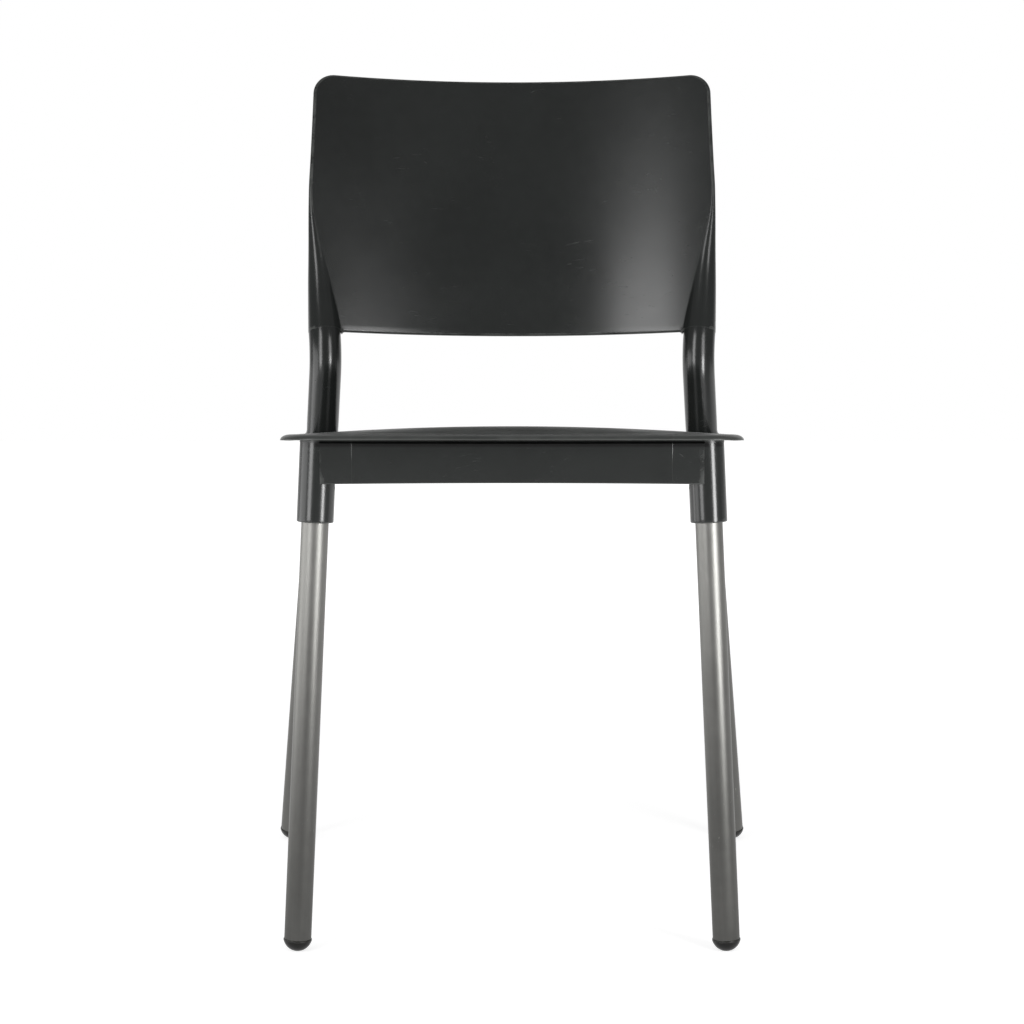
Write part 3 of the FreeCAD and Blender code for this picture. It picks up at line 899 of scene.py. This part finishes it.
class Graph:
    """Short calls for making and linking nodes."""

    def __init__(self, tree):
        self.tree = tree

    def feed(self, target, value):
        """Links a socket to the target, or gives the target a value of its own."""
        if isinstance(value, bpy.types.NodeSocket):
            self.tree.links.new(value, target)
        else:
            target.default_value = value

    def node(self, kind, inputs=None, **settings):
        node = self.tree.nodes.new(kind)
        for name, value in settings.items():
            setattr(node, name, value)
        for name, value in (inputs or {}).items():
            self.feed(node.inputs[name], value)
        return node

    def math(self, operation, a, b=0.5, c=0.5):
        return self.node("ShaderNodeMath", {0: a, 1: b, 2: c}, operation=operation).outputs[0]

    def times(self, a, b):
        return self.math("MULTIPLY", a, b)

    def vectors(self, operation, a, b):
        return self.node("ShaderNodeVectorMath", {0: a, 1: b}, operation=operation).outputs[0]

    def noise(self, vector, scale, detail=2.0, roughness=0.5):
        inputs = {"Vector": vector, "Scale": scale, "Detail": detail, "Roughness": roughness}
        return self.node("ShaderNodeTexNoise", inputs).outputs["Fac"]

    def ramp(self, value, low, high, start=0.0, end=1.0):
        inputs = {"Value": value, "From Min": low, "From Max": high, "To Min": start, "To Max": end}
        return self.node("ShaderNodeMapRange", inputs, interpolation_type="SMOOTHSTEP").outputs[0]

    def mix(self, share, first, second):
        """A colour that turns from the first into the second."""
        node = self.node("ShaderNodeMix", data_type="RGBA")
        for index, value in ((0, share), (6, first), (7, second)):
            self.feed(node.inputs[index], value)
        return node.outputs[2]


def group(name, output, **inputs):
    """Empty shader node group: an input given as one number is a value, any other is a vector."""
    tree = bpy.data.node_groups.new(name, "ShaderNodeTree")
    for key, value in inputs.items():
        kind = "NodeSocketFloat" if isinstance(value, float) else "NodeSocketVector"
        tree.interface.new_socket(key.replace("_", " "), in_out="INPUT", socket_type=kind).default_value = value
    tree.interface.new_socket(output, in_out="OUTPUT", socket_type="NodeSocketFloat")
    return Graph(tree), tree.nodes.new("NodeGroupInput").outputs, tree.nodes.new("NodeGroupOutput").inputs[output]


ORIGIN = (0.0, 0.0, 0.0)


def make_tone_group():
    """Slow unevenness of a surface, about 1."""
    graph, given, out = group("surface_tone", "Factor", Vector=ORIGIN, Scale=8.0, Spread=0.1)
    large = graph.noise(given["Vector"], given["Scale"], 3.0)
    small = graph.noise(given["Vector"], graph.times(given["Scale"], 9.0), 2.0)
    both = graph.math("ADD", graph.times(large, 1.4), graph.times(small, 0.6))
    offset = graph.math("SUBTRACT", both, 1.0)
    graph.tree.links.new(graph.math("MULTIPLY_ADD", offset, given["Spread"], 1.0), out)
    return graph.tree


def make_grain_group():
    """Height, in metres, of a fine moulded or blasted grain on a faint waviness."""
    graph, given, out = group(
        "fine_grain", "Height", Vector=ORIGIN, Grain_Scale=2200.0, Grain_Height=3e-6, Wave_Scale=90.0, Wave_Height=2e-5
    )
    grain = graph.times(graph.noise(given["Vector"], given["Grain Scale"], 1.0), given["Grain Height"])
    wave = graph.times(graph.noise(given["Vector"], given["Wave Scale"], 1.0), given["Wave Height"])
    graph.tree.links.new(graph.math("ADD", grain, wave), out)
    return graph.tree


def make_wear_group():
    """Where sharp outer edges are rubbed, from the piece's edge attribute and a broken noise."""
    graph, given, out = group("edge_wear", "Mask", Vector=ORIGIN, Edge=0.0, Scale=60.0, Amount=0.5)
    broken = graph.noise(given["Vector"], given["Scale"], 5.0, 0.65)
    level = graph.math("MULTIPLY_ADD", graph.math("SUBTRACT", broken, 0.5), 1.6, given["Edge"])
    mask = graph.ramp(level, 0.12, 0.75)
    inner = graph.times(mask, graph.ramp(given["Edge"], 0.02, 0.2))
    graph.tree.links.new(graph.times(inner, given["Amount"]), out)
    return graph.tree


def make_scratch_group():
    """Sparse fine scratches that lie mostly along one axis of the vector."""
    graph, given, out = group(
        "fine_scratches", "Mask", Vector=ORIGIN, Stretch=(1.0, 12.0, 12.0), Scale=60.0, Amount=0.5
    )
    warp = graph.node("ShaderNodeTexNoise", {"Vector": given["Vector"], "Scale": 14.0, "Detail": 1.0})
    shifted = graph.vectors("MULTIPLY", warp.outputs["Color"], (0.05, 0.05, 0.05))
    bent = graph.vectors("ADD", given["Vector"], shifted)
    lines = graph.noise(graph.vectors("MULTIPLY", bent, given["Stretch"]), given["Scale"], 2.0, 0.6)
    where = graph.noise(given["Vector"], 22.0, 2.0)
    mask = graph.times(graph.ramp(lines, 0.66, 0.72), graph.ramp(where, 0.5, 0.66))
    graph.tree.links.new(graph.times(mask, given["Amount"]), out)
    return graph.tree


class Finish(Graph):
    """A material with its Principled shader and the vectors its patterns read."""

    def __init__(self, name, **constants):
        self.material = bpy.data.materials.new(name)
        super().__init__(node_tree(self.material))
        self.shader = self.node("ShaderNodeBsdfPrincipled")
        out = self.node("ShaderNodeOutputMaterial")
        self.feed(out.inputs["Surface"], self.shader.outputs[0])
        for key, value in constants.items():
            self.shader.inputs[key.replace("_", " ")].default_value = value
        self.place = self.node("ShaderNodeTexCoord").outputs["Object"]

    def attribute(self, name, output="Fac"):
        return self.node("ShaderNodeAttribute", attribute_name=name).outputs[output]

    def use(self, tree, **inputs):
        """One of the shared patterns, on the piece's own place unless another vector is given."""
        node = self.node("ShaderNodeGroup", node_tree=tree)
        for key, value in {"Vector": self.place, **inputs}.items():
            self.feed(node.inputs[key.replace("_", " ")], value)
        return node.outputs[0]

    def set(self, name, value):
        self.feed(self.shader.inputs[name], value)

    def tint(self, color, factor):
        """A plain colour times a value."""
        node = self.node("ShaderNodeVectorMath", {0: color[:3], "Scale": factor}, operation="SCALE")
        return node.outputs[0]

    def parts(self):
        """The three coordinates of a place on the piece."""
        return self.node("ShaderNodeSeparateXYZ", {0: self.place}).outputs

    def relief(self, height):
        bump = self.node("ShaderNodeBump", {"Strength": 1.0, "Distance": 1.0, "Height": height})
        self.set("Normal", bump.outputs[0])


SHELL_COLOR = (0.0135, 0.0150, 0.0143)
SHELL_WORN = (0.055, 0.058, 0.055)
SHELL_ROUGHNESS = 0.22
# Colour of the painted shadow just under the seat's rim
RIM_SHADOW_COLOR = (0.002, 0.002, 0.002)
# Heights where the front rim's lighter band (wear, and partly a painted highlight) and the painted shadow below it
# begin, are full, begin to fade and end
RIM_WEAR_AND_HIGHLIGHT_Z = (0.4495, 0.4525, 0.463, 0.466)
RIM_SHADOW_Z = (0.4468, 0.4482, 0.4517, 0.4523)
METAL_COLOR = (0.150, 0.149, 0.142)
METAL_BARE = (0.42, 0.42, 0.40)
METAL_ROUGHNESS = 0.37
TUBE_ANISOTROPY = 0.58
GLIDE_COLOR = (0.004, 0.004, 0.0036)
GLIDE_WORN = (0.08, 0.078, 0.072)
ZINC_COLOR = (0.55, 0.54, 0.5)


def make_materials():
    tone = make_tone_group()
    grain = make_grain_group()
    wear = make_wear_group()
    scratches = make_scratch_group()

    shell = Finish("shell_plastic", Specular_IOR_Level=0.6)
    uneven = shell.use(tone, Scale=9.0, Spread=0.35)
    rubbed = shell.use(wear, Edge=shell.attribute("edge"), Scale=70.0, Amount=0.8)
    scored = shell.use(scratches, Stretch=(1.0, 5.0, 14.0), Scale=45.0, Amount=0.35)
    x, y, z = shell.parts()
    # the front rim's nose is made lighter and rougher in patches: wear from sitting, and partly a painted highlight
    # for the light that the nose catches
    near = shell.ramp(y, FRONT_Y + 0.02, FRONT_Y + 0.09, 1.0, 0.0)
    on_rim = shell.times(shell.ramp(z, *RIM_WEAR_AND_HIGHLIGHT_Z[:2]), shell.ramp(z, *RIM_WEAR_AND_HIGHLIGHT_Z[2:], 1.0, 0.0))
    patchy = shell.ramp(shell.noise(shell.place, 30.0, 5.0, 0.6), 0.2, 0.75, 0.3, 0.75)
    rim_wear_and_highlight = shell.times(shell.times(near, on_rim), patchy)
    worn = shell.math("MAXIMUM", shell.math("MAXIMUM", rubbed, scored), rim_wear_and_highlight)
    from_line = shell.math("ABSOLUTE", shell.math("SUBTRACT", shell.math("ABSOLUTE", x), WITNESS_X))
    line = shell.ramp(from_line, 0.0001, 0.0004, 1.0, 0.0)
    ahead = shell.ramp(y, FRONT_Y - 0.012, FRONT_Y - 0.010, 1.0, 0.0)
    clear = shell.ramp(z, 0.43, 0.444, 0.3, 1.0)
    witness = shell.times(shell.times(line, ahead), clear)
    clean = shell.tint(SHELL_COLOR, uneven)
    color = shell.mix(worn, clean, (*SHELL_WORN, 1))
    # painted shadow: a thin band on the apron and the socket tops, just under the seat's rim, is darkened where the
    # rim's overhang shades it
    under_rim = shell.times(shell.ramp(z, *RIM_SHADOW_Z[:2]), shell.ramp(z, *RIM_SHADOW_Z[2:], 1.0, 0.0))
    painted_rim_shadow = shell.times(under_rim, near)
    color = shell.mix(shell.times(painted_rim_shadow, 0.92), color, (*RIM_SHADOW_COLOR, 1))
    shell.set("Base Color", shell.mix(shell.times(witness, 0.6), color, (*SHELL_WORN, 1)))
    rough = shell.math("MULTIPLY_ADD", worn, 0.25, shell.times(uneven, SHELL_ROUGHNESS))
    shell.set("Roughness", rough)
    height = shell.use(grain, Grain_Scale=2600.0, Grain_Height=4e-6, Wave_Scale=55.0, Wave_Height=3e-5)
    shell.relief(shell.math("MULTIPLY_ADD", witness, 6e-5, height))

    metal = Finish("leg_aluminium", Metallic=1.0, Anisotropic=TUBE_ANISOTROPY)
    tangent = metal.node("ShaderNodeTangent", direction_type="UV_MAP", uv_map="wrap")
    metal.set("Tangent", tangent.outputs[0])
    drawn = metal.attribute("drawn", "Vector")
    streaks = metal.use(tone, Vector=drawn, Scale=260.0, Spread=0.16)
    smudge = metal.use(tone, Scale=14.0, Spread=0.2)
    low = metal.parts()["Z"]
    kicked = metal.ramp(low, 0.02, 0.16, 1.0, 0.25)
    scraped = metal.use(scratches, Stretch=(8.0, 8.0, 2.0), Scale=60.0, Amount=0.7)
    nicks = metal.times(scraped, kicked)
    rubbed = metal.use(wear, Edge=metal.attribute("edge"), Scale=150.0, Amount=0.6)
    # the tubes' colour carries streaks and smudges, and painted shading that keeps them lighter near the sockets and
    # darker towards the floor
    streaks_and_painted_shade = metal.times(metal.times(streaks, smudge), metal.ramp(low, 0.06, 0.4, 0.88, 1.38))
    bare = metal.math("MAXIMUM", nicks, rubbed)
    metal.set("Base Color", metal.mix(bare, metal.tint(METAL_COLOR, streaks_and_painted_shade), (*METAL_BARE, 1)))
    metal.set("Roughness", metal.times(smudge, METAL_ROUGHNESS))
    lines = metal.use(grain, Vector=drawn, Grain_Scale=900.0, Grain_Height=1.5e-6, Wave_Scale=160.0, Wave_Height=3e-6)
    metal.relief(lines)

    glide = Finish("glide_black", Specular_IOR_Level=0.35)
    above = glide.parts()["Z"]
    floor_side = glide.ramp(above, 0.0, 0.0035, 1.0, 0.0)
    dust = glide.times(floor_side, glide.ramp(glide.noise(glide.place, 700.0, 4.0), 0.35, 0.65))
    scuff = glide.use(scratches, Stretch=(2.0, 9.0, 9.0), Scale=120.0, Amount=0.5)
    rubbed = glide.use(wear, Edge=glide.attribute("edge"), Scale=300.0, Amount=0.4)
    worn = glide.math("MAXIMUM", glide.math("MAXIMUM", dust, scuff), rubbed)
    even = glide.tint(GLIDE_COLOR, glide.use(tone, Scale=60.0, Spread=0.3))
    glide.set("Base Color", glide.mix(glide.times(worn, 0.7), even, (*GLIDE_WORN, 1)))
    glide.set("Roughness", glide.math("MULTIPLY_ADD", worn, 0.45, 0.2))
    glide.relief(glide.use(grain, Grain_Scale=3000.0, Grain_Height=2e-6, Wave_Scale=200.0, Wave_Height=8e-6))

    zinc = Finish("screw_zinc", Metallic=1.0)
    dull = zinc.use(tone, Scale=220.0, Spread=0.5)
    zinc.set("Base Color", zinc.tint(ZINC_COLOR, dull))
    zinc.set("Roughness", zinc.times(dull, 0.38))
    zinc.relief(zinc.use(grain, Grain_Scale=5000.0, Grain_Height=4e-6, Wave_Scale=900.0, Wave_Height=4e-6))
    return shell.material, metal.material, glide.material, zinc.material



# Screws, made by geometry nodes at the four windows

SCREW_SIZES = {
    "Head Radius": SCREW_HEAD_R,
    "Head Height": SCREW_HEAD_H,
    "Shank Radius": 2.0 * MM,
    "Shank Length": 10.0 * MM,
    "Recess Length": 4.4 * MM,
    "Recess Width": 1.0 * MM,
    "Recess Depth": 1.4 * MM,
}


def screw_tree(material):
    tree = bpy.data.node_groups.new("leg_screw_set", "GeometryNodeTree")
    tree.interface.new_socket("Places", in_out="INPUT", socket_type="NodeSocketGeometry")
    ids = {}
    for name in SCREW_SIZES:
        ids[name] = tree.interface.new_socket(name, in_out="INPUT", socket_type="NodeSocketFloat").identifier
    tree.interface.new_socket("Screws", in_out="OUTPUT", socket_type="NodeSocketGeometry")
    graph = Graph(tree)
    given = graph.node("NodeGroupInput").outputs

    def raised(geometry, height):
        offset = graph.node("ShaderNodeCombineXYZ", {"Z": height}).outputs[0]
        return graph.node("GeometryNodeTransform", {"Geometry": geometry, "Translation": offset}).outputs[0]

    def cylinder(radius, depth, height):
        node = graph.node("GeometryNodeMeshCylinder", {"Vertices": 48, "Radius": radius, "Depth": depth})
        return raised(node.outputs["Mesh"], height)

    half_head = graph.times(given["Head Height"], 0.5)
    rim = graph.node(
        "GeometryNodeMeshCone",
        {
            "Vertices": 48,
            "Radius Top": graph.times(given["Head Radius"], 0.86),
            "Radius Bottom": given["Head Radius"],
            "Depth": graph.times(given["Head Height"], 0.3),
        },
    )
    crown = raised(rim.outputs["Mesh"], graph.times(given["Head Height"], 0.7))
    disc = cylinder(given["Head Radius"], graph.times(given["Head Height"], 0.7), graph.times(half_head, 0.7))
    shank_middle = graph.times(given["Shank Length"], -0.45)
    shank = cylinder(given["Shank Radius"], graph.times(given["Shank Length"], 1.1), shank_middle)
    whole = graph.node("GeometryNodeMeshBoolean", operation="UNION", solver="EXACT")
    for part in (crown, disc, shank):
        tree.links.new(part, whole.inputs["Mesh 2"])
    recess_middle = graph.math("SUBTRACT", given["Head Height"], graph.times(given["Recess Depth"], 0.5))
    recess_height = graph.math("ADD", given["Recess Depth"], 0.0002)
    cut = graph.node("GeometryNodeMeshBoolean", operation="DIFFERENCE", solver="EXACT")
    tree.links.new(whole.outputs["Mesh"], cut.inputs["Mesh 1"])
    length, width = given["Recess Length"], given["Recess Width"]
    for first, second in ((length, width), (width, length)):
        size = graph.node("ShaderNodeCombineXYZ", {"X": first, "Y": second, "Z": recess_height}).outputs[0]
        bar = graph.node("GeometryNodeMeshCube", {"Size": size}).outputs["Mesh"]
        tree.links.new(raised(bar, graph.math("ADD", recess_middle, 0.0001)), cut.inputs["Mesh 2"])
    turn = graph.node("GeometryNodeInputNamedAttribute", {"Name": "turn"}, data_type="FLOAT_VECTOR").outputs[0]
    spread = graph.node(
        "GeometryNodeInstanceOnPoints", {"Points": given["Places"], "Instance": cut.outputs["Mesh"], "Rotation": turn}
    )
    real = graph.node("GeometryNodeRealizeInstances", {"Geometry": spread.outputs[0]})
    painted = graph.node("GeometryNodeSetMaterial", {"Geometry": real.outputs[0], "Material": material})
    out = graph.node("NodeGroupOutput")
    tree.links.new(painted.outputs[0], out.inputs["Screws"])
    return tree, ids


def make_screws(material, legs):
    """Four screws, one at each window, each with its head bearing on the inner side of its tube."""
    points, turns = [], []
    for leg, socket_z in legs:
        inward = unit(np.array([-1, 0, 0]) + leg.direction * leg.direction[0])
        middle = leg.foot + leg.direction * (leg.distance(socket_z) + SOCKET_DEPTH - SCREW_DROP) + inward * TUBE_R
        for side in (1, -1):
            points.append((side * middle[0], middle[1], middle[2]))
            aim = Vector((side * inward[0], inward[1], inward[2]))
            turns += list(aim.to_track_quat("Z", "Y").to_euler())
    mesh = bpy.data.meshes.new("screw_places")
    mesh.from_pydata(points, [], [])
    mesh.attributes.new("turn", "FLOAT_VECTOR", "POINT").data.foreach_set("vector", turns)
    places = bpy.data.objects.new("screw_places", mesh)
    bpy.context.scene.collection.objects.link(places)
    tree, ids = screw_tree(material)
    modifier = places.modifiers.new("screws", "NODES")
    modifier.node_group = tree
    for name, value in SCREW_SIZES.items():
        modifier[ids[name]] = value
    graph = bpy.context.evaluated_depsgraph_get()
    made = bpy.data.meshes.new_from_object(places.evaluated_get(graph))
    places.modifiers.clear()
    bpy.data.objects.remove(places)
    screws = bpy.data.objects.new("socket_screws", made)
    bpy.context.scene.collection.objects.link(screws)
    made.shade_smooth()
    made.set_sharp_from_angle(angle=math.radians(30))
    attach(screws, "root")
    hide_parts("leg_screws")
    return screws


# Camera, light and floor

CAMERA_AWAY = 1.925
CAMERA_Z = 0.522
CAMERA_DOWN_DEG = 3.93
CAMERA_LENS_MM = 77.48
SENSOR_MM = 36.0
STUDIO_FRONT = 0.2
FILL_LOW = 0.08
FILL_HIGH = 0.55
FLOOR_FRONT = 0.1
# Name, place from the middle of the front feet, width and height, watts
LAMPS = (
    ("left_low", (-1.3, -1.55, 0.36), (0.7, 0.48), 6.8),
    ("left_high", (-1.3, -1.55, 1.35), (0.7, 1.5), 17),
    ("left_side", (-1.5, -0.1, 0.36), (1.3, 0.7), 6),
    ("right_low", (0.9, -0.95, 0.3), (0.36, 0.5), 9),
    ("right_high", (0.9, -0.95, 0.98), (0.5, 0.86), 6),
)


def add_camera():
    data = bpy.data.cameras.new("camera")
    data.sensor_width = SENSOR_MM
    data.lens = CAMERA_LENS_MM
    camera = bpy.data.objects.new("camera", data)
    camera.location = (0, FRONT_Y - CAMERA_AWAY, CAMERA_Z)
    camera.rotation_euler = (math.radians(90 - CAMERA_DOWN_DEG), 0, 0)
    bpy.context.scene.collection.objects.link(camera)
    bpy.context.scene.camera = camera


def seen_rays(graph):
    """Whether a ray comes from the camera, and whether it is a reflection or a clear view through."""
    path = graph.node("ShaderNodeLightPath").outputs
    return path["Is Camera Ray"], graph.math("MAXIMUM", path["Is Glossy Ray"], path["Is Transmission Ray"])


def add_world():
    """White where the camera sees it; reflections see white behind the chair and a dimmer room in front."""
    world = bpy.data.worlds.new("studio")
    bpy.context.scene.world = world
    graph = Graph(node_tree(world))
    camera, shine = seen_rays(graph)
    place = graph.node("ShaderNodeTexCoord").outputs["Generated"]
    split = graph.node("ShaderNodeSeparateXYZ", {0: place}).outputs
    backdrop = graph.ramp(split["Y"], 0.35, 0.9, STUDIO_FRONT, 1.0)
    shown = graph.math("MAXIMUM", camera, backdrop)
    white = graph.node("ShaderNodeBackground", {"Strength": shown, "Color": (1, 1, 1, 1)})
    overhead = graph.ramp(split["Z"], -0.05, 0.9, FILL_LOW, FILL_HIGH)
    fill = graph.node("ShaderNodeBackground", {"Strength": overhead, "Color": (1, 1, 1, 1)})
    seen = graph.math("MAXIMUM", camera, shine)
    mix = graph.node("ShaderNodeMixShader", {0: seen, 1: fill.outputs[0], 2: white.outputs[0]})
    graph.node("ShaderNodeOutputWorld", {"Surface": mix.outputs[0]})


def add_softbox(name, place, size, power):
    """Flat lamp that faces the line up from the middle of the front feet, at its own height."""
    data = bpy.data.lights.new(name, "AREA")
    data.shape = "RECTANGLE"
    data.size, data.size_y = size
    data.energy = power
    lamp = bpy.data.objects.new(name, data)
    lamp.location = place
    aim = Vector((0, FRONT_Y, place[2]))
    lamp.rotation_euler = (aim - Vector(place)).to_track_quat("-Z", "Y").to_euler()
    bpy.context.scene.collection.objects.link(lamp)


def add_floor():
    mesh = bpy.data.meshes.new("floor")
    half = 12.0
    mesh.from_pydata([(-half, -half, 0), (half, -half, 0), (half, half, 0), (-half, half, 0)], [], [(0, 1, 2, 3)])
    floor = bpy.data.objects.new("floor", mesh)
    bpy.context.scene.collection.objects.link(floor)
    material = bpy.data.materials.new("floor_white")
    graph = Graph(node_tree(material))
    camera, shine = seen_rays(graph)
    place = graph.node("ShaderNodeTexCoord").outputs["Object"]
    away = graph.node("ShaderNodeVectorMath", {0: place}, operation="LENGTH").outputs["Value"]
    split = graph.node("ShaderNodeSeparateXYZ", {0: place}).outputs
    seen = graph.times(camera, graph.ramp(away, 0.7, 2.6, 0.73, 1.0))
    shone = graph.times(shine, graph.ramp(split["Y"], -0.7, 0.4, FLOOR_FRONT, 0.8))
    glow = graph.node("ShaderNodeEmission", {"Strength": graph.math("ADD", seen, shone)})
    matt = graph.node("ShaderNodeBsdfDiffuse", {"Color": (0.5, 0.5, 0.5, 1)})
    both = graph.node("ShaderNodeAddShader", {0: matt.outputs[0], 1: glow.outputs[0]})
    graph.node("ShaderNodeOutputMaterial", {"Surface": both.outputs[0]})
    mesh.materials.append(material)


bpy.context.scene.view_settings.view_transform = "Standard"
add_camera()
add_world()
add_floor()
for name, (x, y, z), size, power in LAMPS:
    add_softbox(name, (x, FRONT_Y + y, z), size, power)

shell_plastic, leg_aluminium, glide_black, screw_zinc = make_materials()
front_leg = Leg(FRONT_FOOT, FRONT_LEAN)
rear_leg = Leg(REAR_FOOT, REAR_LEAN)
make_seat(shell_plastic)
make_back(shell_plastic, rear_leg)
make_rails(shell_plastic, front_leg, rear_leg)
for place, leg, socket_z in (("front", front_leg, FRONT_SOCKET_Z), ("rear", rear_leg, REAR_SOCKET_Z)):
    make_tube(leg_aluminium, place + "_left_leg", leg, socket_z, False)
    make_tube(leg_aluminium, place + "_right_leg", leg, socket_z, True)
    make_glides(glide_black, place + "_glides", leg)
make_screws(screw_zinc, ((front_leg, FRONT_SOCKET_Z), (rear_leg, REAR_SOCKET_Z)))
